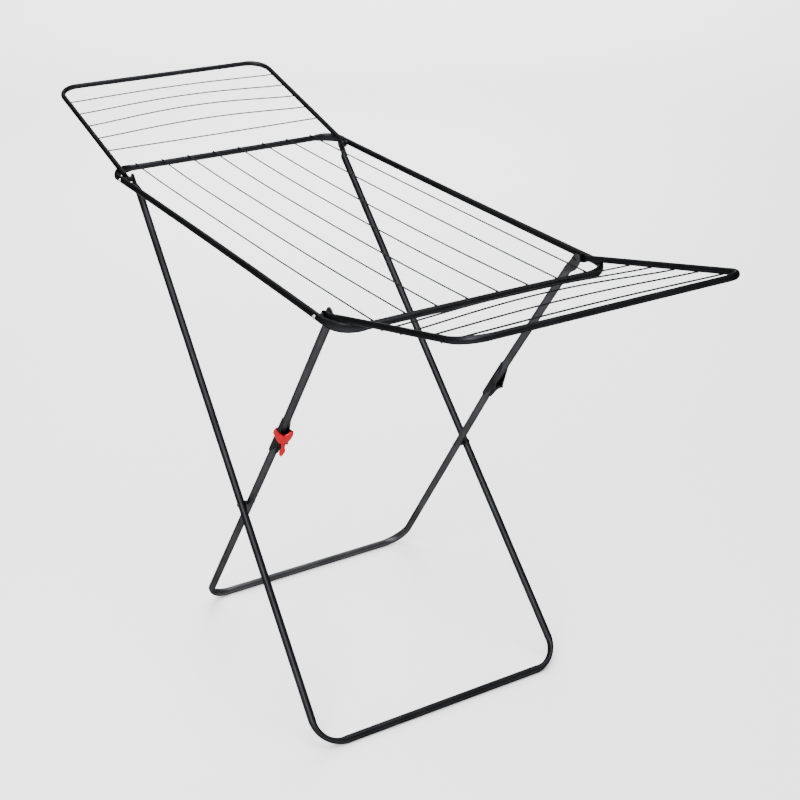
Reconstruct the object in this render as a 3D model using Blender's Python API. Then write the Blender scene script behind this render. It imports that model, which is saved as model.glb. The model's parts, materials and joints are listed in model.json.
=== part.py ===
"""Folding winged clothes airer: a tube frame with wires, two winged ends and an X-shaped leg set.

Metres, +X along the airer, +Y across it, +Z up, origin on the floor at the middle.
"near" is the -Y side and "far" the +Y side, "left" is -X and "right" is +X.
"""
import math

import bmesh
import bpy
from mathutils import Matrix, Vector

# ---------------------------------------------------------------- driving sizes
GAP = 0.0003            # running gap left between touching pieces
FRAME_Z = 0.948         # height of the main frame's tube centre
FRAME_X = 0.5463        # cross bar centre from the middle
FRAME_Y = 0.282         # side tube centre from the middle
FRAME_R = 0.0068        # main frame tube radius
FRAME_BEND = 0.060      # main frame corner radius

PIVOT_X = 0.466         # leg, link and wing pivots from the middle
WING_Y = 0.269          # wing side tube centre
WING_LEN = 0.4583       # pivot to the wing's outer bar
WING_TILT = math.radians(13.89)
WING_R = 0.0058
WING_BEND = 0.045

LEG_R = 0.008           # leg and link tube radius
LEG_BEND = 0.055
OUTER_FOOT_X = 0.420
OUTER_Y_TOP = 0.2535
OUTER_Y_FOOT = 0.2883
INNER_FOOT_X = -0.2077
INNER_Y_FOOT = 0.2618
KNEE_X = 0.2151         # where the link meets the inner leg
KNEE_Z = 0.6042
KNEE_Y = 0.2489
LINK_Y_TOP = 0.2535

WIRE_R = 0.00125
MAIN_WIRES = 8
MAIN_PITCH = 0.06266
MAIN_SAG = 0.009        # how far a long wire hangs below its ends
WING_WIRES = 5
WING_WIRE_START = 0.1446
WING_WIRE_PITCH = 0.0620

RIVET_R = 0.0025
HOLE_R = RIVET_R + GAP
DRILL_TURN = math.radians(24.0)
TUBE_SIDES = 16
WIRE_SIDES = 8
BEND_STEPS = 8
SAG_STEPS = 10

SIDES = (("near", -1.0), ("far", 1.0))
ENDS = (("left", -1.0), ("right", 1.0))

# the knee pivot sits below the tubes' centre line, so that the two tubes fold side by side
KNEE = Vector((KNEE_X, 0.0, KNEE_Z))
LINK_TOP = Vector((PIVOT_X, 0.0, FRAME_Z))
LINK_DIR = (LINK_TOP - KNEE).normalized()
LINK_OUT = Vector((LINK_DIR.z, 0.0, -LINK_DIR.x))
KNEE_DROP = 0.015
KNEE_BACK = -0.002
KNEE_PIVOT = KNEE + LINK_DIR * KNEE_BACK + LINK_OUT * KNEE_DROP

# the crossing of the two leg frames
OUTER_TOP = Vector((-PIVOT_X, 0.0, FRAME_Z))
OUTER_FOOT = Vector((OUTER_FOOT_X, 0.0, LEG_R))
INNER_FOOT = Vector((INNER_FOOT_X, 0.0, LEG_R))


def crossing():
    """Share of the way down each leg frame at which they cross."""
    a = OUTER_FOOT - OUTER_TOP
    b = KNEE - INNER_FOOT
    c = INNER_FOOT - OUTER_TOP
    det = a.z * b.x - a.x * b.z
    return (c.z * b.x - c.x * b.z) / det, (a.x * c.z - a.z * c.x) / det


CROSS_OUTER, CROSS_INNER = crossing()
CROSS = OUTER_TOP.lerp(OUTER_FOOT, CROSS_OUTER)
CROSS_Y_OUTER = OUTER_Y_TOP + (OUTER_Y_FOOT - OUTER_Y_TOP) * CROSS_OUTER
CROSS_Y_INNER = INNER_Y_FOOT + (KNEE_Y - INNER_Y_FOOT) * CROSS_INNER

# pieces on the corner pivots, as distances across the airer
PLATE_HALF = 0.0018
LEG_PLATE_Y = 0.2574
WING_WASHER = (WING_Y + PLATE_HALF + GAP, FRAME_Y - FRAME_R - GAP)
LEG_SPACER = (LEG_PLATE_Y + PLATE_HALF + GAP, WING_Y - PLATE_HALF - GAP)

# ---------------------------------------------------------------- materials
PAINT = ("painted_steel", (0.022, 0.022, 0.024, 1.0), 0.35, 0.0)
WIRE_PAINT = ("coated_wire", (0.045, 0.045, 0.048, 1.0), 0.45, 0.0)
STEEL = ("bright_steel", (0.48, 0.48, 0.49, 1.0), 0.30, 1.0)
BLACK_PLASTIC = ("black_plastic", (0.015, 0.015, 0.016, 1.0), 0.50, 0.0)
RED_PLASTIC = ("red_plastic", (0.72, 0.012, 0.030, 1.0), 0.35, 0.0)


def material(name, spec):
    """One material per object, made from a shared finish."""
    mat = bpy.data.materials.new(name + "_" + spec[0])
    mat.use_nodes = True
    shader = mat.node_tree.nodes["Principled BSDF"]
    shader.inputs["Base Color"].default_value = spec[1]
    shader.inputs["Roughness"].default_value = spec[2]
    shader.inputs["Metallic"].default_value = spec[3]
    return mat


def add_object(name, bm, spec, origin=None):
    """Turn a bmesh into a named object with its origin on its joint axis."""
    bmesh.ops.recalc_face_normals(bm, faces=bm.faces)
    if origin is not None:
        bmesh.ops.translate(bm, verts=bm.verts, vec=-origin)
    mesh = bpy.data.meshes.new(name)
    bm.to_mesh(mesh)
    bm.free()
    for poly in mesh.polygons:
        poly.use_smooth = True
    obj = bpy.data.objects.new(name, mesh)
    if origin is not None:
        obj.location = origin
    bpy.context.collection.objects.link(obj)
    mesh.materials.append(material(name, spec))
    return obj


# ---------------------------------------------------------------- tube sweeps
def fillet(points, radius, steps):
    """Centre line through points with round corners, as (point, tangent, bend share)."""
    path = [(points[0], (points[1] - points[0]).normalized(), 0.0)]
    for before, corner, after in zip(points, points[1:], points[2:]):
        path += arc_at(before, corner, after, radius, steps)
    path.append((points[-1], (points[-1] - points[-2]).normalized(), 0.0))
    return path


def arc_at(before, corner, after, radius, steps):
    """Round corner between two straight runs."""
    u = (corner - before).normalized()
    v = (after - corner).normalized()
    turn = u.angle(v)
    cut = radius * math.tan(turn / 2.0)
    axis = u.cross(v).normalized()
    start = corner - u * cut
    centre = start + axis.cross(u) * radius
    out = []
    for k in range(steps + 1):
        rot = Matrix.Rotation(turn * k / steps, 3, axis)
        share = math.sin(math.pi * k / steps)
        out.append((centre + rot @ (start - centre), rot @ u, share))
    return out


def ring(bm, centre, side, normal, half_side, half_normal, power, phase, count):
    """Closed loop of vertices round a tube; power 2 is an ellipse, more is flatter."""
    verts = []
    for k in range(count):
        angle = phase + 2.0 * math.pi * k / count
        c = math.cos(angle)
        s = math.sin(angle)
        x = math.copysign(abs(c) ** (2.0 / power), c) * half_side
        y = math.copysign(abs(s) ** (2.0 / power), s) * half_normal
        verts.append(bm.verts.new(centre + side * x + normal * y))
    return verts


def skin(rings, bm, closed):
    """Join rings into a tube with filled ends, or into a closed loop."""
    pairs = list(zip(rings, rings[1:]))
    if closed:
        pairs.append((rings[-1], rings[0]))
    for a, b in pairs:
        count = len(a)
        for k in range(count):
            j = (k + 1) % count
            bm.faces.new((a[k], a[j], b[j], b[k]))
    if not closed:
        bm.faces.new(rings[0])
        bm.faces.new(rings[-1])


def flat_end(pivot, away, plate_shift, tube_half, plate_wide, plate_len, blend_len):
    """Stations of a pressed-flat tube end with a round tip, from the tip inwards."""
    out = []
    for angle in (12, 30, 50, 70, 90):
        a = math.radians(angle)
        out.append((pivot - away * plate_wide * math.cos(a), PLATE_HALF, plate_wide * math.sin(a), 5.0, 1.0))
    out.append((pivot + away * plate_len, PLATE_HALF, plate_wide, 5.0, 1.0))
    for k in (1, 2, 3):
        t = k / 3.0
        ease = t * t * (3.0 - 2.0 * t)
        thin = PLATE_HALF + (tube_half - PLATE_HALF) * ease
        wide = plate_wide + (tube_half - plate_wide) * ease
        out.append((pivot + away * (plate_len + blend_len * t), thin, wide, 5.0 - 3.0 * ease, 1.0 - ease))
    return [(p + plate_shift * shift, thin, wide, power) for p, thin, wide, power, shift in out]


def tube_frame(name, points, radius, bend, squash, wide, normal, phase, ends, spec, origin):
    """Bent U tube whose two ends are pressed flat (ends set) or cut square."""
    bm = bmesh.new()
    path = fillet(points, bend, BEND_STEPS)
    rings = []
    if ends:
        rings += [ring(bm, p, normal.cross(path[0][1]), normal, a, b, w, phase, TUBE_SIDES)
                  for p, a, b, w in ends[0]]
    else:
        rings += square_end(bm, path[0][0], path[0][1], 1.0, normal, radius, phase)
    for point, tangent, share in path[1:-1]:
        half = radius - (radius - squash) * share
        tall = radius + (wide - radius) * share
        rings.append(ring(bm, point, normal.cross(tangent), normal, half, tall, 2.0, phase, TUBE_SIDES))
    if ends:
        rings += [ring(bm, p, normal.cross(path[-1][1]), normal, a, b, w, phase, TUBE_SIDES)
                  for p, a, b, w in reversed(ends[1])]
    else:
        rings += list(reversed(square_end(bm, path[-1][0], path[-1][1], -1.0, normal, radius, phase)))
    skin(rings, bm, False)
    return add_object(name, bm, spec, origin)


def square_end(bm, point, tangent, inward, normal, radius, phase):
    """Square-cut tube end with a small rounded edge; inward is +1 at a start and -1 at a finish."""
    side = normal.cross(tangent)
    edge = ring(bm, point, side, normal, radius * 0.88, radius * 0.88, 2.0, phase, TUBE_SIDES)
    full = ring(bm, point + tangent * (0.001 * inward), side, normal, radius, radius, 2.0, phase, TUBE_SIDES)
    return [edge, full]


def drill(obj, centre_x, centre_z, y_from, y_to, radius=HOLE_R):
    """Round hole through an object, running across the airer."""
    depth = abs(y_to - y_from)
    place = Vector((centre_x, (y_from + y_to) / 2.0, centre_z))
    bpy.ops.mesh.primitive_cylinder_add(vertices=12, radius=radius, depth=depth, location=place,
                                        rotation=(math.pi / 2.0, DRILL_TURN, 0.0))
    cutter = bpy.context.object
    cutter.name = obj.name + "_cutter"
    subtract(obj, cutter)


def subtract(obj, cutter):
    """Take one body out of another and drop the cutter."""
    mod = obj.modifiers.new("cut", "BOOLEAN")
    mod.operation = "DIFFERENCE"
    mod.solver = "EXACT"
    mod.object = cutter
    bpy.context.view_layer.objects.active = obj
    bpy.context.view_layer.update()
    bpy.ops.object.modifier_apply(modifier=mod.name)
    bpy.data.objects.remove(cutter, do_unlink=True)


# ---------------------------------------------------------------- main frame
def build_main_frame():
    bm = bmesh.new()
    up = Vector((0.0, 0.0, 1.0))
    corners = [Vector((sx * FRAME_X, sy * FRAME_Y, FRAME_Z))
               for sx, sy in ((-1, -1), (1, -1), (1, 1), (-1, 1))]
    rings = []
    for k in range(4):
        for point, tangent, _ in arc_at(corners[k - 1], corners[k], corners[(k + 1) % 4], FRAME_BEND, BEND_STEPS):
            rings.append(ring(bm, point, up.cross(tangent), up, FRAME_R, FRAME_R, 2.0, 0.0, TUBE_SIDES))
    skin(rings, bm, True)
    frame = add_object("main_frame", bm, PAINT)
    for _, sx in ENDS:
        for _, sy in SIDES:
            drill(frame, sx * PIVOT_X, FRAME_Z, sy * (FRAME_Y - 0.02), sy * (FRAME_Y + 0.02))
    return frame


def wire(name, path, side, origin):
    """Round wire along a list of (point, tangent)."""
    bm = bmesh.new()
    rings = [ring(bm, p, side, t.cross(side), WIRE_R, WIRE_R, 2.0, 0.0, WIRE_SIDES) for p, t in path]
    skin(rings, bm, False)
    return add_object(name, bm, WIRE_PAINT, origin)


def build_main_wires():
    """Long wires over the cross bars, hooked down round their outer sides and hanging a little."""
    reach = FRAME_R + WIRE_R + GAP
    across = Vector((0.0, 1.0, 0.0))
    for index in range(MAIN_WIRES):
        y = (index - (MAIN_WIRES - 1) / 2.0) * MAIN_PITCH
        left = []
        for k in range(BEND_STEPS + 1):
            a = math.radians(205.0 - 117.0 * k / BEND_STEPS)
            centre = Vector((-FRAME_X, y, FRAME_Z))
            radial = Vector((math.cos(a), 0.0, math.sin(a)))
            left.append((centre + radial * reach, Vector((radial.z, 0.0, -radial.x))))
        right = [(Vector((-p.x, p.y, p.z)), Vector((t.x, t.y, -t.z))) for p, t in reversed(left)]
        start = left[-1][0]
        hang = []
        for k in range(1, SAG_STEPS):
            t = 2.0 * k / SAG_STEPS - 1.0
            drop = MAIN_SAG * (1.0 - t * t)
            slope = 2.0 * MAIN_SAG * t / abs(start.x)
            hang.append((Vector((-start.x * t, y, start.z - drop)), Vector((1.0, 0.0, slope)).normalized()))
        wire("main_wire_%d" % (index + 1), left + hang + right, across, None)


# ---------------------------------------------------------------- wings
def build_wing(end, sx):
    """Tilted wing: bent tube on two pivots with cross wires below it."""
    pivot = Vector((sx * PIVOT_X, 0.0, FRAME_Z))
    along = Vector((sx * math.cos(WING_TILT), 0.0, math.sin(WING_TILT)))
    normal = Vector((-sx * math.sin(WING_TILT), 0.0, math.cos(WING_TILT)))
    y = Vector((0.0, WING_Y, 0.0))
    points = [pivot - y, pivot - y + along * WING_LEN, pivot + y + along * WING_LEN, pivot + y]
    shift = Vector((0.0, 0.0, 0.0))
    ends = [flat_end(pivot + y * sy, along, shift, WING_R, 0.0086, 0.010, 0.016) for _, sy in SIDES]
    name = "wing_%s_frame" % end
    frame = tube_frame(name, points, WING_R, WING_BEND, WING_R, WING_R, normal, 0.0, ends, PAINT, pivot)
    for _, sy in SIDES:
        drill(frame, pivot.x, pivot.z, sy * (WING_Y - 0.004), sy * (WING_Y + 0.004))
    reach = WING_R + WIRE_R + GAP
    for index in range(WING_WIRES):
        base = pivot + along * (WING_WIRE_START + WING_WIRE_PITCH * index)
        path = []
        for k in range(4):
            a = math.radians(50.0 * (1.0 - k / 3.0))
            out = Vector((0.0, -math.sin(a), 0.0)) - normal * math.cos(a)
            path.append((base - y + out * reach, Vector((0.0, math.cos(a), 0.0)) - normal * math.sin(a)))
        back = [(p, t) for p, t in path]
        for p, t in reversed(path):
            back.append((Vector((p.x, -p.y, p.z)), Vector((-t.x, t.y, -t.z))))
        wire("wing_%s_wire_%d" % (end, index + 1), back, along, pivot)
    return frame


# ---------------------------------------------------------------- legs and links
def foot_phase(normal, tangent):
    """Turn of the section that puts one vertex at the very bottom of a foot bar."""
    side = normal.cross(tangent)
    return math.atan2(-normal.z, -side.z)


def build_outer_leg():
    top = [Vector((-PIVOT_X, sy * OUTER_Y_TOP, FRAME_Z)) for _, sy in SIDES]
    foot = [Vector((OUTER_FOOT_X, sy * OUTER_Y_FOOT, LEG_R)) for _, sy in SIDES]
    points = [top[0], foot[0], foot[1], top[1]]
    normal = (foot[0] - top[0]).cross(foot[1] - foot[0]).normalized()
    ends = []
    for k, (_, sy) in enumerate(SIDES):
        away = (foot[k] - top[k]).normalized()
        shift = Vector((0.0, sy * (LEG_PLATE_Y - OUTER_Y_TOP), 0.0))
        ends.append(flat_end(top[k], away, shift, LEG_R, 0.0115, 0.014, 0.022))
    phase = foot_phase(normal, Vector((0.0, 1.0, 0.0)))
    leg = tube_frame("outer_leg_frame", points, LEG_R, LEG_BEND, 0.0056, 0.0094, normal, phase, ends,
                     PAINT, CROSS.copy())
    for _, sy in SIDES:
        drill(leg, -PIVOT_X, FRAME_Z, sy * (LEG_PLATE_Y - 0.004), sy * (LEG_PLATE_Y + 0.004))
        drill(leg, CROSS.x, CROSS.z, sy * (CROSS_Y_OUTER - 0.02), sy * (CROSS_Y_OUTER + 0.02))
    return leg


def build_inner_leg():
    back = (KNEE - INNER_FOOT).normalized() * 0.004
    knee = [Vector((KNEE_X - back.x, sy * KNEE_Y, KNEE_Z - back.z)) for _, sy in SIDES]
    foot = [Vector((INNER_FOOT_X, sy * INNER_Y_FOOT, LEG_R)) for _, sy in SIDES]
    points = [knee[0], foot[0], foot[1], knee[1]]
    normal = (foot[0] - knee[0]).cross(foot[1] - foot[0]).normalized()
    phase = foot_phase(normal, Vector((0.0, 1.0, 0.0)))
    leg = tube_frame("inner_leg_frame", points, LEG_R, LEG_BEND, 0.0056, 0.0094, normal, phase, None,
                     PAINT, KNEE_PIVOT.copy())
    for _, sy in SIDES:
        drill(leg, CROSS.x, CROSS.z, sy * (CROSS_Y_INNER - 0.02), sy * (CROSS_Y_INNER + 0.02))
    return leg


def build_link(side, sy):
    """Upper link from the main frame down to the knee."""
    top = Vector((PIVOT_X, sy * LINK_Y_TOP, FRAME_Z))
    low = Vector((KNEE_X, sy * KNEE_Y, KNEE_Z))
    along = (low - top).normalized()
    normal = Vector((-along.z, 0.0, along.x)).normalized()
    bm = bmesh.new()
    shift = Vector((0.0, sy * (LEG_PLATE_Y - LINK_Y_TOP), 0.0))
    rings = [ring(bm, p, normal.cross(along), normal, a, b, w, 0.0, TUBE_SIDES)
             for p, a, b, w in flat_end(top, along, shift, LEG_R, 0.0115, 0.014, 0.022)]
    rings += list(reversed(square_end(bm, low - along * 0.003, along, -1.0, normal, LEG_R, 0.0)))
    skin(rings, bm, False)
    link = add_object("upper_link_%s" % side, bm, PAINT, Vector((PIVOT_X, 0.0, FRAME_Z)))
    drill(link, PIVOT_X, FRAME_Z, sy * (LEG_PLATE_Y - 0.004), sy * (LEG_PLATE_Y + 0.004))
    return link


# ---------------------------------------------------------------- knees
def knee_point(s, n):
    """Point in the knee's own plane: s up the link, n out from its underside."""
    return KNEE + LINK_DIR * s + LINK_OUT * n


def slab(outline, y_from, y_to):
    """Flat body with an outline in the knee's plane and a thickness across the airer."""
    bm = bmesh.new()
    layers = []
    for y in (y_from, y_to):
        layers.append([bm.verts.new(knee_point(s, n) + Vector((0.0, y, 0.0))) for s, n in outline])
    bm.faces.new(layers[0])
    bm.faces.new(reversed(layers[1]))
    count = len(outline)
    for k in range(count):
        j = (k + 1) % count
        bm.faces.new((layers[0][k], layers[0][j], layers[1][j], layers[1][k]))
    return bm


def arc_outline(s0, n0, radius, start, stop, steps):
    """Part of a circle as outline points, angles in degrees from the s axis."""
    return [(s0 + radius * math.cos(math.radians(start + (stop - start) * k / steps)),
             n0 + radius * math.sin(math.radians(start + (stop - start) * k / steps)))
            for k in range(steps + 1)]


BRACKET_IN = 0.0088     # half the inside width of the knee channel
BRACKET_OUT = 0.0102    # half its outside width
BRACKET_WEB = -0.0088   # inside face of its back
BRACKET_Y = 0.2494


def build_bracket(side, sy):
    """Channel over the knee: closed at the back, open where the tubes fold together."""
    eye = arc_outline(KNEE_BACK, KNEE_DROP, 0.0045, 25.0, 155.0, 6)
    outline = [(-0.052, BRACKET_WEB - 0.0014), (0.060, BRACKET_WEB - 0.0014), (0.060, 0.001)]
    outline += eye + [(-0.052, 0.001)]
    inner = [(-0.060, BRACKET_WEB), (0.070, BRACKET_WEB), (0.070, 0.030), (-0.060, 0.030)]
    origin = Vector((PIVOT_X, 0.0, FRAME_Z))
    name = "knee_bracket_%s" % side
    body = add_object(name, slab(outline, sy * BRACKET_Y - BRACKET_OUT, sy * BRACKET_Y + BRACKET_OUT),
                      PAINT, origin)
    hollow = add_object(name + "_inner", slab(inner, sy * BRACKET_Y - BRACKET_IN, sy * BRACKET_Y + BRACKET_IN),
                        PAINT)
    subtract(body, hollow)
    drill(body, KNEE_PIVOT.x, KNEE_PIVOT.z, sy * BRACKET_Y - 0.02, sy * BRACKET_Y + 0.02)
    for poly in body.data.polygons:
        poly.use_smooth = False
    return body


def build_lug(side, sy):
    """Plate on top of the inner leg's end that carries the knee pivot."""
    top = LEG_R + 0.0011
    eye = arc_outline(KNEE_BACK, KNEE_DROP, 0.0042, -80.0, 190.0, 10)
    outline = [(-0.046, top), (-0.007, top)] + eye + [(-0.0098, top + 0.0028), (-0.046, top + 0.0028)]
    y = sy * BRACKET_Y
    lug = add_object("knee_lug_%s" % side, slab(outline, y - 0.003, y + 0.003), PAINT, KNEE_PIVOT.copy())
    drill(lug, KNEE_PIVOT.x, KNEE_PIVOT.z, y - 0.006, y + 0.006)
    for poly in lug.data.polygons:
        poly.use_smooth = False
    return lug


def sleeve(outline, s_from, s_to):
    """Straight body along the link with an outline given as (across, out)."""
    bm = bmesh.new()
    layers = []
    for s in (s_from, s_to):
        layers.append([bm.verts.new(knee_point(s, n) + Vector((0.0, y, 0.0))) for y, n in outline])
    bm.faces.new(layers[0])
    bm.faces.new(reversed(layers[1]))
    for k in range(len(outline)):
        j = (k + 1) % len(outline)
        bm.faces.new((layers[0][k], layers[0][j], layers[1][j], layers[1][k]))
    bmesh.ops.recalc_face_normals(bm, faces=bm.faces)
    return bm


def box_outline(half, centre, low, high, cut):
    """Rectangle with its corners cut off."""
    return [(centre - half + cut, low), (centre + half - cut, low), (centre + half, low + cut),
            (centre + half, high - cut), (centre + half - cut, high), (centre - half + cut, high),
            (centre - half, high - cut), (centre - half, low + cut)]


def build_clip():
    """Red safety clip: a sleeve round the near knee's channel, above its pivot."""
    y = -BRACKET_Y
    inside = BRACKET_OUT + 0.0003
    wall = 0.0022
    back = BRACKET_WEB - 0.0014 - 0.0003
    front = 0.0165
    origin = KNEE + Vector((0.0, y, 0.0))
    body = add_object("safety_clip", sleeve(box_outline(inside + wall, y, back - wall, front + wall, 0.003),
                                            0.008, 0.036), RED_PLASTIC, origin)
    hollow = [(y - inside, back), (y + inside, back), (y + inside, front), (y - inside, front)]
    subtract(body, add_object("clip_inner", sleeve(hollow, -0.01, 0.05), RED_PLASTIC))
    for poly in body.data.polygons:
        poly.use_smooth = False
    return body


# ---------------------------------------------------------------- rivets, washers, spacers
def lathe(name, profile, centre, direction, spec, origin, count=16):
    """Solid of revolution about an axis running across the airer; profile is (distance, radius)."""
    bm = bmesh.new()
    x = Vector((1.0, 0.0, 0.0))
    z = Vector((0.0, 0.0, 1.0))
    rings = [ring(bm, centre + Vector((0.0, direction * d, 0.0)), x, z, r, r, 2.0, 0.0, count)
             for d, r in profile]
    skin(rings, bm, False)
    return add_object(name, bm, spec, origin)


def rivet(name, centre, sy, inner, outer, origin, heads=(True, True)):
    """Rivet across the airer: a low domed head inside and another outside, or an end cut flush."""
    head = 0.0045
    profile = [(inner, RIVET_R)]
    if heads[0]:
        profile = [(inner - 0.0016, head * 0.45), (inner - 0.0010, head * 0.85), (inner - GAP, head),
                   (inner - GAP * 0.9, RIVET_R)]
    if heads[1]:
        profile += [(outer + GAP * 0.9, RIVET_R), (outer + GAP, head),
                    (outer + 0.0010, head * 0.85), (outer + 0.0016, head * 0.45)]
    else:
        profile.append((outer, RIVET_R))
    return lathe(name, profile, centre, sy, STEEL, origin, 12)


def tube_ring(name, centre, sy, inner, outer, radius, spec, origin):
    """Washer or spacer with a hole for its rivet."""
    obj = lathe(name, [(inner, radius), (outer, radius)], centre, sy, spec, origin)
    drill(obj, centre.x, centre.z, sy * inner - 0.004 * sy, sy * outer + 0.004 * sy)
    return obj


def build_hardware():
    for side, sy in SIDES:
        for end, sx in ENDS:
            pivot = Vector((sx * PIVOT_X, 0.0, FRAME_Z))
            tag = "%s_%s" % (end, side)
            plate = (LEG_PLATE_Y - PLATE_HALF, LEG_PLATE_Y + PLATE_HALF)
            if end == "left":
                # the leg's own pin is a piece of its own, so that the leg can part from the frame here
                rivet("leg_pin_" + side, pivot, sy, plate[0], plate[1], CROSS, (True, False))
                rivet("corner_rivet_" + tag, pivot, sy, LEG_SPACER[0], FRAME_Y + FRAME_R, pivot, (False, True))
            else:
                rivet("corner_rivet_" + tag, pivot, sy, plate[0], FRAME_Y + FRAME_R, pivot)
            tube_ring("wing_washer_" + tag, pivot, sy, WING_WASHER[0], WING_WASHER[1], 0.0050, BLACK_PLASTIC, pivot)
            tube_ring("leg_spacer_" + tag, pivot, sy, LEG_SPACER[0], LEG_SPACER[1], 0.0062, BLACK_PLASTIC, pivot)
        rivet("cross_rivet_" + side, CROSS, sy, CROSS_Y_INNER - LEG_R, CROSS_Y_OUTER + LEG_R, CROSS)
        tube_ring("cross_spacer_" + side, CROSS, sy, CROSS_Y_INNER + LEG_R + GAP, CROSS_Y_OUTER - LEG_R - GAP,
                  0.0060, BLACK_PLASTIC, CROSS)
        knee = KNEE_PIVOT.copy()
        rivet("knee_rivet_" + side, knee, sy, BRACKET_Y - BRACKET_OUT, BRACKET_Y + BRACKET_OUT, knee,
              (True, False))


def main():
    for obj in list(bpy.data.objects):
        bpy.data.objects.remove(obj, do_unlink=True)
    build_main_frame()
    build_main_wires()
    for end, sx in ENDS:
        build_wing(end, sx)
    build_outer_leg()
    build_inner_leg()
    for side, sy in SIDES:
        build_link(side, sy)
        build_bracket(side, sy)
        build_lug(side, sy)
    build_clip()
    build_hardware()


main()
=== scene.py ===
"""Folding winged clothes airer: fine surfaces, finishes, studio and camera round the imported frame.

Metres, +X along the airer, +Y across it away from the camera, +Z up.
"""

import json
import math

import bmesh
import bpy
from mathutils import Matrix, Vector


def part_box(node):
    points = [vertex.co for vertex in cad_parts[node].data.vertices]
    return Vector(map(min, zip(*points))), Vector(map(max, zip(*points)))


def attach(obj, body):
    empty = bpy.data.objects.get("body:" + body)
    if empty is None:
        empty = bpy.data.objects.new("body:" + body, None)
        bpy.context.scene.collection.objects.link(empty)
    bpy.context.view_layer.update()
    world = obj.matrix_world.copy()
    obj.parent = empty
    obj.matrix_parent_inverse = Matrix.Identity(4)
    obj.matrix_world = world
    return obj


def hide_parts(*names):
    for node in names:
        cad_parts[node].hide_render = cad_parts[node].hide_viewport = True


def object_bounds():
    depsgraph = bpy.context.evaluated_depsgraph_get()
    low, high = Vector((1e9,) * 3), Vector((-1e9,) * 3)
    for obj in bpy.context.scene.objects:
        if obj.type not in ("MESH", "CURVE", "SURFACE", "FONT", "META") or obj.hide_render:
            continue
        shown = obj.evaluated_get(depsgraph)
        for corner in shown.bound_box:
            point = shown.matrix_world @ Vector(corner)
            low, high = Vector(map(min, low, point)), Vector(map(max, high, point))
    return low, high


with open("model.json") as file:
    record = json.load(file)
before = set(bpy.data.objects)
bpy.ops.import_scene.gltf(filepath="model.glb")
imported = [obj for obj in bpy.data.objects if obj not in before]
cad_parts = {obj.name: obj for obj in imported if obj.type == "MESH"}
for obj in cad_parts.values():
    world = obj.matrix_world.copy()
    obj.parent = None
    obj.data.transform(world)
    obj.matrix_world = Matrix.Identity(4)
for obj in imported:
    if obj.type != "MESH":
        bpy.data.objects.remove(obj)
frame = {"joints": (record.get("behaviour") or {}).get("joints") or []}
cad_low, cad_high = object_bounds()

SIDES = (("near", -1.0), ("far", 1.0))
ENDS = (("left", -1.0), ("right", 1.0))
UP = Vector((0.0, 0.0, 1.0))
ACROSS = Vector((0.0, 1.0, 0.0))
JOINTS = {joint["name"]: joint for joint in frame["joints"]}


def pivot_of(joint):
    """Where a joint's axis crosses the middle plane."""
    return Vector(JOINTS[joint]["pos_m"])


def middle(node):
    low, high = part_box(node)
    return (low + high) / 2.0


# ---------------------------------------------------------------- sizes, from the frame where it has them
LEFT = pivot_of("wing_left_fold")
RIGHT = pivot_of("wing_right_fold")
CROSS = pivot_of("leg_fold")
KNEE_PIVOT = pivot_of("knee_fold")
LINK_DIR = Vector(JOINTS["clip_slide"]["axis"]).normalized()
LINK_OUT = Vector((LINK_DIR.z, 0.0, -LINK_DIR.x))

frame_low, frame_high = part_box("main_frame")
FRAME_R = (frame_high.z - frame_low.z) / 2.0
FRAME_Z = (frame_high.z + frame_low.z) / 2.0
FRAME_X = frame_high.x - FRAME_R
FRAME_Y = frame_high.y - FRAME_R
FRAME_BEND = 0.052
CORNER_THINNER = 0.0026     # how much a frame corner is squeezed in and stands taller
CORNER_TALLER = 0.0032
SIDE_BOW = 0.0030       # how far the long tubes bend in at their middles
END_BOW = 0.0016

WING_R = 0.0058
WING_BEND = 0.048
WING_SQUASH = (0.0052, 0.0064)
wing_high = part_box("wing_right_frame")[1]
WING_Y = wing_high.y - WING_R
WING_BAR = Vector((wing_high.x - WING_R, 0.0, wing_high.z - WING_R)) - RIGHT
WING_LEN = WING_BAR.length
WING_TILT = math.atan2(WING_BAR.z, WING_BAR.x)

LEG_R = 0.008
LEG_BEND = 0.055
LEG_SQUASH = (0.0056, 0.0094)            # half sizes of the tube in the middle of a bend
LEG_TOP_Y = 0.2535
LEG_PLATE_Y = 0.2574
OUTER_FOOT = Vector((0.420, 0.2883, LEG_R))
INNER_FOOT = Vector((-0.2077, 0.2618, LEG_R))
KNEE_Y = 0.2489
KNEE_DROP = 0.015
KNEE_BACK = -0.002
KNEE = KNEE_PIVOT - LINK_DIR * KNEE_BACK - LINK_OUT * KNEE_DROP

PLATE_HALF = 0.0018
LINK_PLATE = (0.0115, 0.014, 0.022)      # half width, straight length, blend length
WING_PLATE = (0.0086, 0.010, 0.016)
LINK_LEAN = {"near": -0.0008, "far": 0.0022}     # how far a link's upper plate is pressed out of line

BRACKET_Y = 0.2494
BRACKET_IN = 0.0088
BRACKET_WALL = 0.0014
BRACKET_BACK = 0.0088
BRACKET_CORNER = 0.0101  # bend radius of the folded sheet
BRACKET_EYE = 0.0045
BRACKET_TOP = 0.060
BRACKET_LOW = 0.052
FIT = 0.0003             # clearance between neighbouring pieces

WASHER_R = 0.0050
SPACER_R = 0.0062
CROSS_SPACER_R = 0.0060
WELD_SUBDIVISIONS = 3

WIRE_R = 0.0015
MAIN_SEAT = 0.8         # from a tube's surface out to the centre of a wire welded on it, in wire radii
WING_SEAT = 0.35
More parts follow.
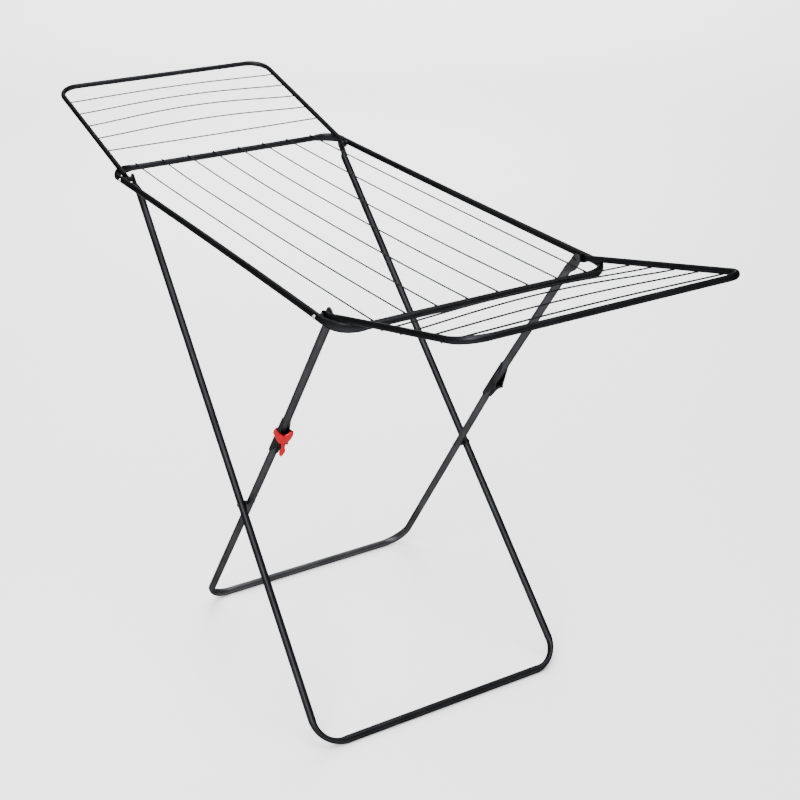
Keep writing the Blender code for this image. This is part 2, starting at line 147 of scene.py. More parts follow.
# how far each long wire hangs at its middle, main_wire_1 first
MAIN_SAG = (0.0055, 0.008, 0.009, 0.010, 0.010, 0.0105, 0.0045, 0.002)
STEEP_END = (5.0, 4.5, 3.0, 3.0, 2.5, 2.5, 2.0, 2.0)    # how fast each drops from its left end
# how far each wing wire strays at its middle, along the wing and off its plane, wire_1 first
WING_BOW = {"left": (-0.002, 0.0037, 0.0039, 0.0018, -0.0004), "right": (0.0, 0.0, 0.0, 0.0, 0.0)}
WING_ARCH = {"left": (0.0005, 0.0085, 0.0120, 0.0095, 0.0055),
             "right": (0.005, 0.0085, 0.0115, 0.0065, 0.003)}

TUBE_SIDES = 40
WIRE_SIDES = 14
BEND_STEPS = 22


# ---------------------------------------------------------------- finishes
def noise(tree, coords, scale, detail=3.0, rough=0.55):
    node = tree.nodes.new("ShaderNodeTexNoise")
    node.inputs["Scale"].default_value = scale
    node.inputs["Detail"].default_value = detail
    node.inputs["Roughness"].default_value = rough
    tree.links.new(coords, node.inputs["Vector"])
    return node.outputs["Fac"]


def spread(tree, value, low, high):
    """Map a noise value on to a range."""
    node = tree.nodes.new("ShaderNodeMapRange")
    node.inputs["From Min"].default_value = 0.3
    node.inputs["From Max"].default_value = 0.7
    node.inputs["To Min"].default_value = low
    node.inputs["To Max"].default_value = high
    tree.links.new(value, node.inputs["Value"])
    return node.outputs["Result"]


def tint(tree, value, low, high):
    """Blend between two colours by a noise value."""
    node = tree.nodes.new("ShaderNodeValToRGB")
    node.color_ramp.elements[0].position = 0.3
    node.color_ramp.elements[0].color = low + (1.0,)
    node.color_ramp.elements[1].position = 0.7
    node.color_ramp.elements[1].color = high + (1.0,)
    tree.links.new(value, node.inputs["Fac"])
    return node.outputs["Color"]


def bumps(tree, layers):
    """Stack of bumps, each (value, strength, height)."""
    normal = None
    for value, strength, height in layers:
        node = tree.nodes.new("ShaderNodeBump")
        node.inputs["Strength"].default_value = strength
        node.inputs["Distance"].default_value = height
        tree.links.new(value, node.inputs["Height"])
        if normal is not None:
            tree.links.new(normal, node.inputs["Normal"])
        normal = node.outputs["Normal"]
    return normal


def finish_of(name, colours, roughness, metallic=0.0, grain=(), patch=9.0, specular=0.5, edge=1.0,
              ior=1.5):
    """Procedural finish: patchy colour and roughness, and layers of fine bumps (scale, strength, height)."""
    mat = bpy.data.materials.new(name)
    mat.use_nodes = True
    tree = mat.node_tree
    shader = tree.nodes["Principled BSDF"]
    shader.inputs["Metallic"].default_value = metallic
    shader.inputs["IOR"].default_value = ior
    shader.inputs["Specular Tint"].default_value = (edge, edge, edge, 1.0)
    shader.inputs["Specular IOR Level"].default_value = specular
    coords = tree.nodes.new("ShaderNodeTexCoord").outputs["Object"]
    broad = noise(tree, coords, patch)
    fine = noise(tree, coords, patch * 23.0, 4.0, 0.6)
    tree.links.new(tint(tree, broad, *colours), shader.inputs["Base Color"])
    tree.links.new(spread(tree, fine, *roughness), shader.inputs["Roughness"])
    layers = [(noise(tree, coords, scale, 2.0), strength, height) for scale, strength, height in grain]
    tree.links.new(bumps(tree, layers), shader.inputs["Normal"])
    return mat


PAINT = finish_of("satin_black_paint", ((0.0095, 0.0098, 0.0112), (0.0165, 0.0170, 0.0188)), (0.30, 0.42),
                  metallic=0.9, patch=14.0, edge=0.10, specular=0.1,
                  grain=((420.0, 0.16, 0.00008), (1500.0, 0.12, 0.00003), (45.0, 0.08, 0.0003)))
WIRE_COAT = finish_of("dark_wire_coating", ((0.010, 0.010, 0.011), (0.018, 0.018, 0.019)), (0.36, 0.48),
                      metallic=0.8, patch=30.0, edge=0.15, specular=0.1,
                      grain=((700.0, 0.20, 0.00006), (2400.0, 0.12, 0.00002)))
LINK_PAINT = finish_of("satin_grey_paint", ((0.026, 0.026, 0.028), (0.040, 0.040, 0.043)), (0.34, 0.46),
                       metallic=0.9, patch=14.0, edge=0.30, specular=0.1,
                       grain=((420.0, 0.16, 0.00008), (1500.0, 0.12, 0.00003), (45.0, 0.08, 0.0003)))
BRACKET_COAT = finish_of("pressed_black_paint", ((0.020, 0.020, 0.022), (0.032, 0.032, 0.035)), (0.34, 0.46),
                         metallic=0.9, patch=40.0, edge=0.10, specular=0.1,
                         grain=((600.0, 0.25, 0.0001), (1800.0, 0.15, 0.00004)))
ZINC = finish_of("bright_zinc", ((0.34, 0.34, 0.35), (0.52, 0.52, 0.53)), (0.22, 0.36), metallic=1.0,
                 patch=180.0, grain=((1400.0, 0.25, 0.00005),))
DARK_STEEL = finish_of("blackened_steel", ((0.014, 0.014, 0.015), (0.032, 0.032, 0.034)), (0.26, 0.38),
                       metallic=1.0, edge=0.3, patch=180.0, grain=((1400.0, 0.25, 0.00005),))
SPACER_BLACK = finish_of("black_plastic", ((0.002, 0.002, 0.0024), (0.004, 0.004, 0.0045)), (0.42, 0.58),
                         patch=120.0, specular=0.10, grain=((2600.0, 0.30, 0.00006),))
CLIP_RED = finish_of("moulded_red_plastic", ((0.33, 0.0008, 0.0110), (0.40, 0.0012, 0.0140)), (0.28, 0.38),
                     patch=70.0, metallic=0.6, edge=0.15, ior=1.10,
                     grain=((1700.0, 0.16, 0.00005), (260.0, 0.12, 0.0002)))


# ---------------------------------------------------------------- mesh helpers
def piece(name, bm, body, nodes, finish, sharp=None):
    """A finished mesh that rides on a body and stands for CAD nodes."""
    bmesh.ops.recalc_face_normals(bm, faces=bm.faces)
    mesh = bpy.data.meshes.new(name)
    bm.to_mesh(mesh)
    bm.free()
    mesh.shade_smooth()
    if sharp is not None:
        mesh.set_sharp_from_angle(angle=math.radians(sharp))
    obj = bpy.data.objects.new(name, mesh)
    bpy.context.scene.collection.objects.link(obj)
    mesh.materials.append(finish)
    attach(obj, body)
    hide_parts(*nodes)
    return obj


def section(bm, centre, side, normal, half_side, half_normal, power=2.0, count=TUBE_SIDES):
    """Loop of vertices; power 2 is an ellipse and more is flatter-sided."""
    verts = []
    for k in range(count):
        angle = 2.0 * math.pi * k / count
        c = math.cos(angle)
        s = math.sin(angle)
        x = math.copysign(abs(c) ** (2.0 / power), c) * half_side
        y = math.copysign(abs(s) ** (2.0 / power), s) * half_normal
        verts.append(bm.verts.new(centre + side * x + normal * y))
    return verts


def skin(bm, loops, closed=False):
    """Quads between loops, with filled ends unless the loops join up."""
    pairs = list(zip(loops, loops[1:]))
    if closed:
        pairs.append((loops[-1], loops[0]))
    for a, b in pairs:
        for k in range(len(a)):
            j = (k + 1) % len(a)
            bm.faces.new((a[k], a[j], b[j], b[k]))
    if not closed:
        bm.faces.new(loops[0])
        bm.faces.new(loops[-1])


def smooth_step(t):
    t = min(1.0, max(0.0, t))
    return t * t * (3.0 - 2.0 * t)


def corner_arc(before, corner, after, radius, steps=BEND_STEPS):
    """Round corner as (point, tangent, share of the bend)."""
    u = (corner - before).normalized()
    v = (after - corner).normalized()
    turn = u.angle(v)
    axis = u.cross(v).normalized()
    start = corner - u * (radius * math.tan(turn / 2.0))
    centre = start + axis.cross(u) * radius
    out = []
    for k in range(steps + 1):
        rot = Matrix.Rotation(turn * k / steps, 3, axis)
        out.append((centre + rot @ (start - centre), rot @ u, math.sin(math.pi * k / steps) ** 0.7))
    return out


def straight(a, b, steps, bow=None):
    """Stations between two points, not including them, that bend by bow at the middle."""
    out = []
    for k in range(1, steps):
        t = k / steps
        shift = bow * (4.0 * t * (1.0 - t)) if bow else Vector((0.0, 0.0, 0.0))
        slope = bow * (4.0 * (1.0 - 2.0 * t)) if bow else Vector((0.0, 0.0, 0.0))
        out.append((a.lerp(b, t) + shift, (b - a + slope).normalized(), 0.0))
    return out


def plate_end(pivot, away, shift, tube_half, plate):
    """Pressed-flat tube end from its round tip to the full tube: (point, thin, wide, power)."""
    wide, length, blend = plate
    stations = []
    for k in range(10):
        a = math.radians(6.0 + 84.0 * k / 9.0)
        edge = PLATE_HALF * (0.55 + 0.45 * math.sin(a) ** 0.5)
        stations.append((-wide * math.cos(a), edge, wide * math.sin(a), 5.0, 1.0))
    for k in (0.35, 0.7, 1.0):
        stations.append((length * k, PLATE_HALF, wide, 5.0, 1.0))
    for k in range(1, 15):
        t = k / 14.0
        ease = smooth_step(t)
        thick = smooth_step(t * 1.08)
        stations.append((length + blend * t, PLATE_HALF + (tube_half - PLATE_HALF) * thick,
                         wide + (tube_half - wide) * ease, 5.0 - 3.0 * ease ** 0.6, 1.0 - ease))
    return [(pivot + away * s + shift * pull, thin, broad, power) for s, thin, broad, power, pull in stations]


def plate_loops(bm, stations, tangent, normal):
    return [section(bm, point, normal.cross(tangent), normal, thin, wide, power)
            for point, thin, wide, power in stations]


def tube_u(name, points, radius, bend, squash, ends, body, node, run_steps=10, finish=PAINT):
    """U-shaped tube; ends are pressed-flat stations, or None for square cuts."""
    bm = bmesh.new()
    a, b, c, d = points
    normal = (b - a).cross(c - b).normalized()
    arcs = corner_arc(a, b, c, bend) + straight(b, c, run_steps)[1:-1] + corner_arc(b, c, d, bend)
    first = (b - a).normalized()
    last = (d - c).normalized()
    if ends:
        loops = plate_loops(bm, ends[0], first, normal)
    else:
        loops = cut_end(bm, a, first, 1.0, normal, radius)
    for point, tangent, share in arcs:
        thin = radius - (radius - squash[0]) * share
        tall = radius + (squash[1] - radius) * share
        loops.append(section(bm, point, normal.cross(tangent), normal, thin, tall))
    if ends:
        loops += list(reversed(plate_loops(bm, ends[1], last, normal)))
    else:
        loops += list(reversed(cut_end(bm, d, last, -1.0, normal, radius)))
    skin(bm, loops)
    return piece(name, bm, body, [node], finish)


def cut_end(bm, point, tangent, inward, normal, radius):
    """Square-cut tube end: the wall's rim, rounded, round a shallow bore."""
    side = normal.cross(tangent)
    rim = ((0.0030, 0.84), (0.0004, 0.86), (0.0, 0.90), (0.0, 0.95), (0.0005, 0.99), (0.0012, 1.0))
    return [section(bm, point + tangent * (depth * inward), side, normal, radius * r, radius * r)
            for depth, r in rim]


# ---------------------------------------------------------------- main frame and its wires
def build_main_frame():
    bm = bmesh.new()
    corners = [Vector((sx * FRAME_X, sy * FRAME_Y, FRAME_Z))
               for sx, sy in ((-1, -1), (1, -1), (1, 1), (-1, 1))]
    loops = []
    for k in range(4):
        here = corners[k]
        after = corners[(k + 1) % 4]
        beyond = corners[(k + 2) % 4]
        arc = corner_arc(corners[k - 1], here, after, FRAME_BEND)
        run_start = arc[-1][0]
        run_end = corner_arc(here, after, beyond, FRAME_BEND)[0][0]
        inward = Vector((0.0, -math.copysign(SIDE_BOW, here.y), 0.0))
        if k % 2:
            inward = Vector((-math.copysign(END_BOW, here.x), 0.0, 0.0))
        for point, tangent, share in arc + straight(run_start, run_end, 28, inward):
            half = FRAME_R - CORNER_THINNER * share
            tall = FRAME_R + CORNER_TALLER * share
            loops.append(section(bm, point, UP.cross(tangent), UP, half, tall))
    skin(bm, loops, closed=True)
    piece("main_frame_tube", bm, "main_frame", ["main_frame"], PAINT)


def round_tip(bm, point, tangent, side, radius, first):
    """Small dome that ends a wire."""
    loops = []
    for k in range(1, 5):
        a = math.radians(90.0 * k / 4.6)
        reach = tangent * (radius * math.sin(a) * (-1.0 if first else 1.0))
        r = radius * math.cos(a)
        loops.append(section(bm, point + reach, side, tangent.cross(side), r, r, count=WIRE_SIDES))
    return list(reversed(loops)) if first else loops


def wire_mesh(bm, path, side):
    """Round wire along (point, tangent, squash): squash flattens it where it is welded."""
    loops = round_tip(bm, path[0][0], path[0][1], side, WIRE_R, True)
    for point, tangent, flat in path:
        loops.append(section(bm, point, side, tangent.cross(side), WIRE_R * (1.0 + 0.35 * flat),
                             WIRE_R * (1.0 - 0.22 * flat), count=WIRE_SIDES))
    loops += round_tip(bm, path[-1][0], path[-1][1], side, WIRE_R, False)
    skin(bm, loops)


def weld(bm, centre, axes, sizes):
    """Small weld nugget: an ellipsoid with its own axes."""
    made = bmesh.ops.create_icosphere(bm, subdivisions=WELD_SUBDIVISIONS, radius=1.0)
    turn = Matrix((axes[0], axes[1], axes[2])).transposed()
    for vert in made["verts"]:
        local = Vector((vert.co.x * sizes[0], vert.co.y * sizes[1], vert.co.z * sizes[2]))
        vert.co = centre + turn @ local


def build_main_wire(index):
    node = "main_wire_%d" % (index + 1)
    y = middle(node).y
    sag = MAIN_SAG[index]
    reach = FRAME_R + WIRE_R * MAIN_SEAT
    bow = END_BOW * (1.0 - (y / FRAME_Y) ** 2)
    bar_x = FRAME_X - bow
    left = []
    steps = 16
    for k in range(steps + 1):
        a = math.radians(108.0 - 20.0 * k / steps)
        radial = Vector((math.cos(a), 0.0, math.sin(a)))
        point = Vector((-bar_x, y, FRAME_Z)) + radial * reach
        left.append((point, Vector((radial.z, 0.0, -radial.x)), math.sin(math.pi * k / steps) ** 2))
    right = [(Vector((-p.x, p.y, p.z)), Vector((t.x, t.y, -t.z)), f) for p, t, f in reversed(left)]
    top = left[-1][0]
    hang = []
    spans = 48
    for k in range(1, spans):
        t = 2.0 * k / spans - 1.0
        power = STEEP_END[index] if t < 0.0 else 2.0
        drop = sag * (1.0 - abs(t) ** power)
        slope = math.copysign(sag * power * abs(t) ** (power - 1.0), t) / abs(top.x)
        tangent = Vector((1.0, 0.0, slope)).normalized()
        hang.append((Vector((abs(top.x) * t, y, top.z - drop)), tangent, 0.0))
    bm = bmesh.new()
    wire_mesh(bm, left + hang + right, ACROSS)
    for sx in (-1.0, 1.0):
        spot = Vector((sx * (bar_x - 0.0018), y, FRAME_Z + FRAME_R - 0.0002))
        weld(bm, spot, (Vector((1, 0, 0)), Vector((0, 1, 0)), Vector((0, 0, 1))), (0.0030, 0.0021, 0.0010))
    piece(node + "_line", bm, "main_frame", [node], WIRE_COAT)


# ---------------------------------------------------------------- wings
def wing_axes(sx):
    along = Vector((sx * math.cos(WING_TILT), 0.0, math.sin(WING_TILT)))
    normal = Vector((-sx * math.sin(WING_TILT), 0.0, math.cos(WING_TILT)))
    return along, normal


def build_wing(end, sx):
    pivot = LEFT if sx < 0 else RIGHT
    along, normal = wing_axes(sx)
    y = ACROSS * WING_Y
    points = [pivot - y, pivot - y + along * WING_LEN, pivot + y + along * WING_LEN, pivot + y]
    still = Vector((0.0, 0.0, 0.0))
    ends = [plate_end(pivot + y * sy, along, still, WING_R, WING_PLATE) for _, sy in SIDES]
    body = "wing_" + end
    tube_u(body + "_tube", points, WING_R, WING_BEND, WING_SQUASH, ends, body, body + "_frame", 14)
    reach = WING_R + WIRE_R * WING_SEAT
    for index, bow in enumerate(WING_BOW[end]):
        node = "%s_wire_%d" % (body, index + 1)
        spot = middle(node) - pivot
        out_by = spot.dot(along)
        base = pivot + along * out_by
        arch = WING_ARCH[end][index]
        hook = []
        for k in range(13):
            a = math.radians(2.0 - 28.0 * k / 12.0)
            radial = Vector((0.0, -math.sin(a), 0.0)) - normal * math.cos(a)
            tangent = Vector((0.0, math.cos(a), 0.0)) - normal * math.sin(a)
            hook.append((base - y + radial * reach, tangent, math.sin(math.pi * k / 12.0) ** 2))
        start = hook[-1][0]
        run = []
        spans = 44
        for k in range(1, spans):
            t = 2.0 * k / spans - 1.0
            share = (1.0 - t * t) ** 1.5
            slope = -3.0 * t * math.sqrt(1.0 - t * t)
            lift = along * bow + normal * arch
            point = Vector((start.x, start.y * -t, start.z)) + lift * share
            run.append((point, (ACROSS * WING_Y + lift * slope).normalized(), 0.0))
        back = [(Vector((p.x, -p.y, p.z)), Vector((-t.x, t.y, -t.z)), f) for p, t, f in reversed(hook)]
        bm = bmesh.new()
        wire_mesh(bm, hook + run + back, along)
        for _, sy in SIDES:
            weld(bm, base + y * sy - ACROSS * (sy * 0.0010) - normal * (WING_R - 0.0003),
                 (along, ACROSS, normal), (0.0019, 0.0026, 0.0012))
        piece(node + "_line", bm, body, [node], WIRE_COAT)


# ---------------------------------------------------------------- legs and links
def build_outer_leg():
    top = [Vector((LEFT.x, sy * LEG_TOP_Y, LEFT.z)) for _, sy in SIDES]
    foot = [Vector((OUTER_FOOT.x, sy * OUTER_FOOT.y, OUTER_FOOT.z)) for _, sy in SIDES]
    ends = []
    for k, (_, sy) in enumerate(SIDES):
        away = (foot[k] - top[k]).normalized()
        shift = ACROSS * (sy * (LEG_PLATE_Y - LEG_TOP_Y))
        ends.append(plate_end(top[k], away, shift, LEG_R, LINK_PLATE))
    tube_u("outer_leg_tube", [top[0], foot[0], foot[1], top[1]], LEG_R, LEG_BEND, LEG_SQUASH, ends,
           "outer_leg", "outer_leg_frame", 14)


def build_inner_leg():
    back = (KNEE - Vector((INNER_FOOT.x, 0.0, INNER_FOOT.z))).normalized() * 0.004
    knee = [Vector((KNEE.x - back.x, sy * KNEE_Y, KNEE.z - back.z)) for _, sy in SIDES]
    foot = [Vector((INNER_FOOT.x, sy * INNER_FOOT.y, INNER_FOOT.z)) for _, sy in SIDES]
    tube_u("inner_leg_tube", [knee[0], foot[0], foot[1], knee[1]], LEG_R, LEG_BEND, LEG_SQUASH, None,
           "inner_leg", "inner_leg_frame", 14, finish=LINK_PAINT)


def build_link(side, sy):
    top = Vector((RIGHT.x, sy * LEG_TOP_Y, RIGHT.z))
    low = Vector((KNEE.x, sy * KNEE_Y, KNEE.z))
    along = (low - top).normalized()
    normal = Vector((-along.z, 0.0, along.x)).normalized()
    bm = bmesh.new()
    shift = ACROSS * (sy * (LEG_PLATE_Y - LEG_TOP_Y)) + LINK_OUT * LINK_LEAN[side]
    loops = plate_loops(bm, plate_end(top, along, shift, LEG_R, LINK_PLATE), along, normal)
    loops += list(reversed(cut_end(bm, low - along * 0.003, along, -1.0, normal, LEG_R)))
    skin(bm, loops)
    piece("upper_link_%s_tube" % side, bm, "link_" + side, ["upper_link_" + side],
          LINK_PAINT)


# ---------------------------------------------------------------- knees
def knee_point(s, n, y):
    """Point in the knee's own plane: s up the link, n out from its underside."""
    return KNEE + LINK_DIR * s + LINK_OUT * n + ACROSS * y


def channel(bm, stations, y_mid, inside, wall, back, corner):
    """Folded sheet channel. stations are (s, near edge, far edge) along the link."""
    loops = []
    outside = inside + wall
    turns = [math.radians(90.0 * k / 10.0) for k in range(11)]
    for s, near, far in stations:
        outer = [(-outside, near)]
        outer += [(-outside + corner * (1.0 - math.cos(a)), -back - wall + corner * (1.0 - math.sin(a)))
                  for a in turns]
        outer += [(outside - corner * (1.0 - math.cos(a)), -back - wall + corner * (1.0 - math.sin(a)))
                  for a in reversed(turns)]
        outer.append((outside, far))
        rest = max(corner - wall, 0.0003)
        inner = [(inside, far)]
        inner += [(inside - rest * (1.0 - math.cos(a)), -back + rest * (1.0 - math.sin(a))) for a in turns]
        inner += [(-inside + rest * (1.0 - math.cos(a)), -back + rest * (1.0 - math.sin(a)))
                  for a in reversed(turns)]
        inner.append((-inside, near))
        loops.append([bm.verts.new(knee_point(s, n, y_mid + y)) for y, n in outer + inner])
    skin(bm, loops)


def flange_edge(s):
    """Lower edge of the knee channel's cheek: a shallow triangle with a round eye at the pivot."""
    eye = BRACKET_EYE
    low = 0.001
    side_share, peak_share = 0.9063, 0.4226      # cosine and sine of 25 degrees, where straight edges start
    rel = s - KNEE_BACK
    if abs(rel) < eye * side_share:
        return KNEE_DROP + math.sqrt(eye * eye - rel * rel)
    peak = KNEE_DROP + eye * peak_share
    reach = BRACKET_TOP - KNEE_BACK if rel > 0.0 else BRACKET_LOW + KNEE_BACK
    return peak + (low - peak) * min(1.0, (abs(rel) - eye * side_share) / (reach - eye * side_share))


def build_bracket(side, sy):
    places = [-BRACKET_LOW + 0.0035 * k for k in range(13)]
    places += [KNEE_BACK + BRACKET_EYE * math.sin(math.radians(a)) for a in range(-64, 65, 8)]
    places += [0.0060 + 0.0036 * k for k in range(16)]
    places = sorted(set(round(s, 5) for s in places if s <= BRACKET_TOP))
    stations = [(s, flange_edge(s), flange_edge(s)) for s in places]
    bm = bmesh.new()
    channel(bm, stations, sy * BRACKET_Y, BRACKET_IN, BRACKET_WALL, BRACKET_BACK, BRACKET_CORNER)
    obj = piece("knee_bracket_%s_channel" % side, bm, "link_" + side, ["knee_bracket_" + side],
                BRACKET_COAT, sharp=38)
    soften(obj, 0.0003)


def soften(obj, width):
    """Small rounded edges."""
    mod = obj.modifiers.new("edges", "BEVEL")
    mod.width = width
    mod.segments = 2
    mod.limit_method = "ANGLE"
    mod.angle_limit = math.radians(45.0)


def slab(bm, outline, y_from, y_to):
    layers = [[bm.verts.new(knee_point(s, n, y)) for s, n in outline] for y in (y_from, y_to)]
    bm.faces.new(layers[0])
    bm.faces.new(reversed(layers[1]))
    for k in range(len(outline)):
        j = (k + 1) % len(outline)
        bm.faces.new((layers[0][k], layers[0][j], layers[1][j], layers[1][k]))


def arc_points(s0, n0, radius, start, stop, steps):
    return [(s0 + radius * math.cos(math.radians(start + (stop - start) * k / steps)),
             n0 + radius * math.sin(math.radians(start + (stop - start) * k / steps)))
            for k in range(steps + 1)]


def build_lug(side, sy):
    top = LEG_R + 0.0002
    eye = arc_points(KNEE_BACK, KNEE_DROP, 0.0042, -80.0, 155.0, 24)
    outline = [(-0.046, top), (-0.007, top)] + eye + [(-0.046, top + 0.0037)]
    bm = bmesh.new()
    slab(bm, outline, sy * BRACKET_Y - 0.003, sy * BRACKET_Y + 0.003)
    obj = piece("knee_lug_%s_plate" % side, bm, "inner_leg", ["knee_lug_" + side],
                BRACKET_COAT, sharp=38)
    soften(obj, 0.0005)


def clip_loop(bm, s, half, low, high, lift, far):
    """Rounded-box loop round the link, moved along it by lift; it is wider on its far side."""
    middle_n = (low + high) / 2.0
    depth = (high - low) / 2.0
    verts = []
    for k in range(64):
        angle = 2.0 * math.pi * (k + 0.5) / 64.0
        c = math.cos(angle)
        t = math.sin(angle)
        across = math.copysign(abs(c) ** 0.5, c) * half
        out = math.copysign(abs(t) ** 0.5, t) * depth
        wide = 1.0 + (far if across > 0.0 else 0.0)
        verts.append(bm.verts.new(knee_point(s + lift(across / half, out / depth), middle_n + out,
                                             -BRACKET_Y + across * wide)))
    return verts


def clip_top(across, out):
    """Rim: two ears beside a dip at the front, the far one taller."""
    ear = 0.0110 * smooth_step((across + 0.45) / 1.45) - 0.0020
    return 0.0105 * (out - 0.8) * (out < 0.8) + ear * max(0.0, out) ** 2


def clip_bottom(across, out):
    """Lower edge: lower at the back and on the far side, and drawn down to the neck at the front."""
    neck = 0.0075 * max(0.0, out) * (1.0 - abs(across))
    return 0.0048 * min(0.0, out) - 0.0050 * max(0.0, across) - neck


def clip_sleeve(bm):
    inside = BRACKET_IN + BRACKET_WALL + FIT
    wall = 0.0022
    back = BRACKET_BACK + BRACKET_WALL + FIT
    front = 0.0165
    low, high = 0.008, 0.036
    rim = 0.0005
    far = 0.20
    outer = (inside + wall, -back - wall, front + wall)
    inner = (inside + 0.0001, -back - 0.0001, front)
    loops = []
    for s, (half, lo, hi), inset in ((low, inner, 0.0), (low, outer, rim), (low + rim, outer, 0.0)):
        loops.append(clip_loop(bm, s, half - inset, lo + inset, hi - inset, clip_bottom, far))
    for k in range(1, 10):
        t = k / 10.0
        bulge = 0.0007 * math.sin(math.pi * t)

        def between(across, out, t=t):
            return clip_bottom(across, out) * (1.0 - t) + clip_top(across, out) * t

        s = low + (high - low) * t
        loops.append(clip_loop(bm, s, outer[0] + bulge, outer[1], outer[2] + bulge, between,
                               far + 0.22 * math.sin(math.pi * t ** 0.8)))
    for s, (half, lo, hi), inset in ((high - rim, outer, 0.0), (high, outer, rim), (high, inner, 0.0)):
        loops.append(clip_loop(bm, s, half - inset, lo + inset, hi - inset, clip_top, far))
    skin(bm, loops, closed=True)


def curve_value(before, start, end, after, t):
    """Catmull-Rom value at share t of the way from start to end."""
    return 0.5 * (2.0 * start + (end - before) * t
                  + (2.0 * before - 5.0 * start + 4.0 * end - after) * t * t
                  + (3.0 * start - before - 3.0 * end + after) * t ** 3)


def clip_tab(bm):
    """Neck and finger tab, as (place along the link, distance out, half width, half thickness)."""
    tab = [(0.0100, 0.0172, 0.0062, 0.0014),
           (0.0060, 0.0178, 0.0056, 0.0014),
           (0.0005, 0.0194, 0.0050, 0.0014),
           (-0.0045, 0.0212, 0.0040, 0.0014),
           (-0.0085, 0.0222, 0.0042, 0.0015),
           (-0.0135, 0.0231, 0.0060, 0.0016),
           (-0.0190, 0.0240, 0.0066, 0.0017),
           (-0.0245, 0.0247, 0.0058, 0.0016),
           (-0.0290, 0.0252, 0.0042, 0.0015),
           (-0.0320, 0.0256, 0.0024, 0.0013),
           (-0.0335, 0.0258, 0.0009, 0.0008)]
    last = len(tab) - 1
    fine = []
    for k in range(last):
        around = [tab[max(0, min(last, k + j))] for j in (-1, 0, 1, 2)]
        for step in range(4):
            fine.append([curve_value(*values, step / 4.0) for values in zip(*around)])
    fine.append(tab[-1])
    skin(bm, [section(bm, knee_point(s, n, -BRACKET_Y), ACROSS, LINK_OUT, wide, thick, 2.8, 32)
              for s, n, wide, thick in fine])


def build_clip():
    """Moulded clip: a heart-shaped sleeve round the near knee with a neck and a finger tab."""
    bm = bmesh.new()
    clip_sleeve(bm)
    clip_tab(bm)
    piece("safety_clip_moulding", bm, "safety_clip", ["safety_clip"], CLIP_RED, sharp=50)


# ---------------------------------------------------------------- rivets, washers, spacers
def turned(name, profile, centre, sy, body, node, finish, count=36, closed=False):
    """Solid of revolution across the airer; profile is (distance from the middle, radius)."""
    bm = bmesh.new()
    loops = [section(bm, Vector((centre.x, sy * d, centre.z)), Vector((1, 0, 0)), UP, r, r, count=count)
             for d, r in profile]
    skin(bm, loops, closed=closed)
    piece(name, bm, body, [node], finish, sharp=50)


def dome(at, outward, radius=0.0045, height=0.0016, skirt=0.0):
    """Rivet head profile from its rim outwards, with a small dimple in its crown."""
    out = [(at - outward * skirt, radius * 0.97), (at + outward * 0.0002, radius)]
    for k in range(1, 9):
        a = math.radians(90.0 * k / 9.0)
        out.append((at + outward * (0.0002 + (height - 0.0002) * math.sin(a)), radius * math.cos(a) ** 0.8))
    out.append((at + outward * (height - 0.0004), radius * 0.16))
    out.append((at + outward * (height - 0.0006), radius * 0.05))
    return out


def rivet(name, centre, sy, inner, outer, body, node, heads=(True, True), skirts=(0.0, 0.0), finish=ZINC):
    shank = 0.0025
    profile = [(inner, shank)]
    if heads[0]:
        profile = list(reversed(dome(inner, -1.0, skirt=skirts[0]))) + [(inner + skirts[0] + 0.0001, shank)]
    if heads[1]:
        profile += [(outer - skirts[1] - 0.0001, shank)] + dome(outer, 1.0, skirt=skirts[1])
    else:
        profile.append((outer, shank))
    turned(name, profile, centre, sy, body, node, finish)


def spacer(name, centre, sy, inner, outer, radius, body, node):
    """Ring with rounded rims."""
    rim = 0.0005
    bore = 0.0028
    turn = rim * 0.3
    profile = [(inner, bore), (inner, radius - rim), (inner + turn, radius - turn), (inner + rim, radius),
               (outer - rim, radius), (outer - turn, radius - turn), (outer, radius - rim), (outer, bore)]
    turned(name, profile, centre, sy, body, node, SPACER_BLACK, closed=True)


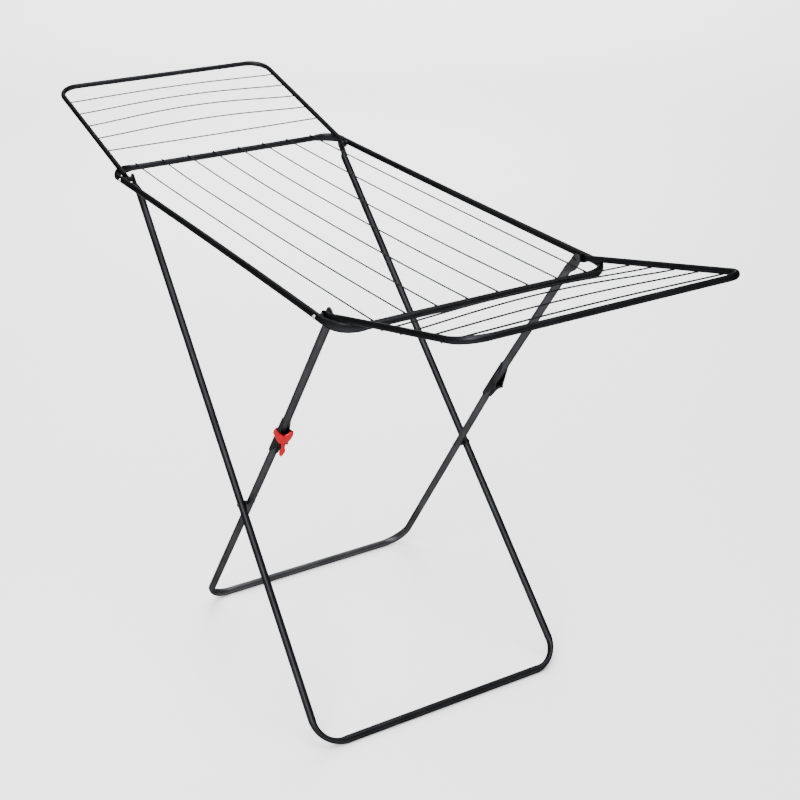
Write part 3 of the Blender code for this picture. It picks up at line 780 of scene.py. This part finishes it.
def build_hardware():
    plate = (LEG_PLATE_Y - PLATE_HALF, LEG_PLATE_Y + PLATE_HALF)
    bracket_half = BRACKET_IN + BRACKET_WALL
    gap = FIT
    outer_face = FRAME_Y + FRAME_R
    sink = 0.0019
    for side, sy in SIDES:
        for end, sx in ENDS:
            pivot = LEFT if sx < 0 else RIGHT
            tag = "%s_%s" % (end, side)
            node = "corner_rivet_" + tag
            if end == "left":
                rivet("leg_pin_head_" + side, pivot, sy, plate[0], plate[1], "outer_leg", "leg_pin_" + side,
                      (True, False), finish=DARK_STEEL)
            else:
                rivet(node + "_inner_head", pivot, sy, plate[0], plate[1], "main_frame", node, (True, False),
                      finish=DARK_STEEL)
            rivet(node + "_head", pivot, sy, plate[1] + gap, outer_face, "main_frame", node, (False, True),
                  (0.0, sink))
            spacer("wing_washer_%s_ring" % tag, pivot, sy, WING_Y + PLATE_HALF + gap, FRAME_Y - FRAME_R - gap,
                   WASHER_R, "main_frame", "wing_washer_" + tag)
            spacer("leg_spacer_%s_ring" % tag, pivot, sy, plate[1] + gap, WING_Y - PLATE_HALF - gap,
                   SPACER_R, "main_frame", "leg_spacer_" + tag)
        low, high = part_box("cross_spacer_" + side)
        inner, outer = sorted((abs(low.y), abs(high.y)))
        rivet("cross_rivet_%s_head" % side, CROSS, sy, inner - gap - 2.0 * LEG_R, outer + gap + 2.0 * LEG_R,
              "outer_leg", "cross_rivet_" + side, skirts=(0.0014, 0.0014), finish=DARK_STEEL)
        spacer("cross_spacer_%s_ring" % side, CROSS, sy, inner, outer, CROSS_SPACER_R, "outer_leg",
               "cross_spacer_" + side)
        rivet("knee_rivet_%s_head" % side, KNEE_PIVOT, sy, BRACKET_Y - bracket_half, BRACKET_Y + bracket_half,
              "link_" + side, "knee_rivet_" + side, (True, False), finish=DARK_STEEL)


# ---------------------------------------------------------------- studio
def area_light(name, place, aim, size, power, tone=(1.0, 1.0, 1.0)):
    data = bpy.data.lights.new(name, "AREA")
    data.shape = "RECTANGLE"
    data.size, data.size_y = size
    data.energy = power
    data.color = tone
    obj = bpy.data.objects.new(name, data)
    bpy.context.scene.collection.objects.link(obj)
    obj.location = place
    obj.rotation_euler = (Vector(aim) - Vector(place)).to_track_quat("-Z", "Y").to_euler()


def build_studio():
    bm = bmesh.new()
    bmesh.ops.create_grid(bm, x_segments=2, y_segments=2, size=40.0)
    mesh = bpy.data.meshes.new("floor")
    bm.to_mesh(mesh)
    bm.free()
    floor = bpy.data.objects.new("floor", mesh)
    floor.location.z = cad_low.z - 0.0002
    bpy.context.scene.collection.objects.link(floor)
    mesh.materials.append(finish_of("pale_floor", ((0.86, 0.86, 0.86), (0.88, 0.88, 0.88)), (0.65, 0.75),
                                    patch=0.4, grain=((30.0, 0.02, 0.0005),), specular=0.2))
    world = bpy.data.worlds.new("studio")
    world.use_nodes = True
    world.node_tree.nodes["Background"].inputs["Color"].default_value = (0.93, 0.94, 0.96, 1.0)
    world.node_tree.nodes["Background"].inputs["Strength"].default_value = 0.7
    bpy.context.scene.world = world
    target = (0.0, 0.0, 0.6)
    area_light("key", (2.4, -2.6, 3.4), target, (2.4, 2.4), 330.0)
    area_light("top", (0.0, 0.0, 4.2), target, (4.5, 2.5), 330.0)
    area_light("backdrop", (-7.0, 4.0, 6.0), (-9.0, 5.2, 0.0), (9.0, 7.0), 2200.0)
    area_light("fill", (-3.4, 1.6, 2.6), target, (2.0, 2.4), 110.0, (0.93, 0.96, 1.0))


def build_camera():
    data = bpy.data.cameras.new("camera")
    data.sensor_width = 36.0
    data.lens = 67.08
    obj = bpy.data.objects.new("camera", data)
    bpy.context.scene.collection.objects.link(obj)
    obj.location = (2.5736, -1.3238, 1.8991)
    obj.rotation_euler = [math.radians(a) for a in (64.694, 0.757, 59.964)]
    bpy.context.scene.camera = obj


# ---------------------------------------------------------------- assembly
build_main_frame()
for wire_index in range(len(MAIN_SAG)):
    build_main_wire(wire_index)
for end_name, end_sign in ENDS:
    build_wing(end_name, end_sign)
build_outer_leg()
build_inner_leg()
for side_name, side_sign in SIDES:
    build_link(side_name, side_sign)
    build_bracket(side_name, side_sign)
    build_lug(side_name, side_sign)
build_clip()
build_hardware()
build_studio()
build_camera()
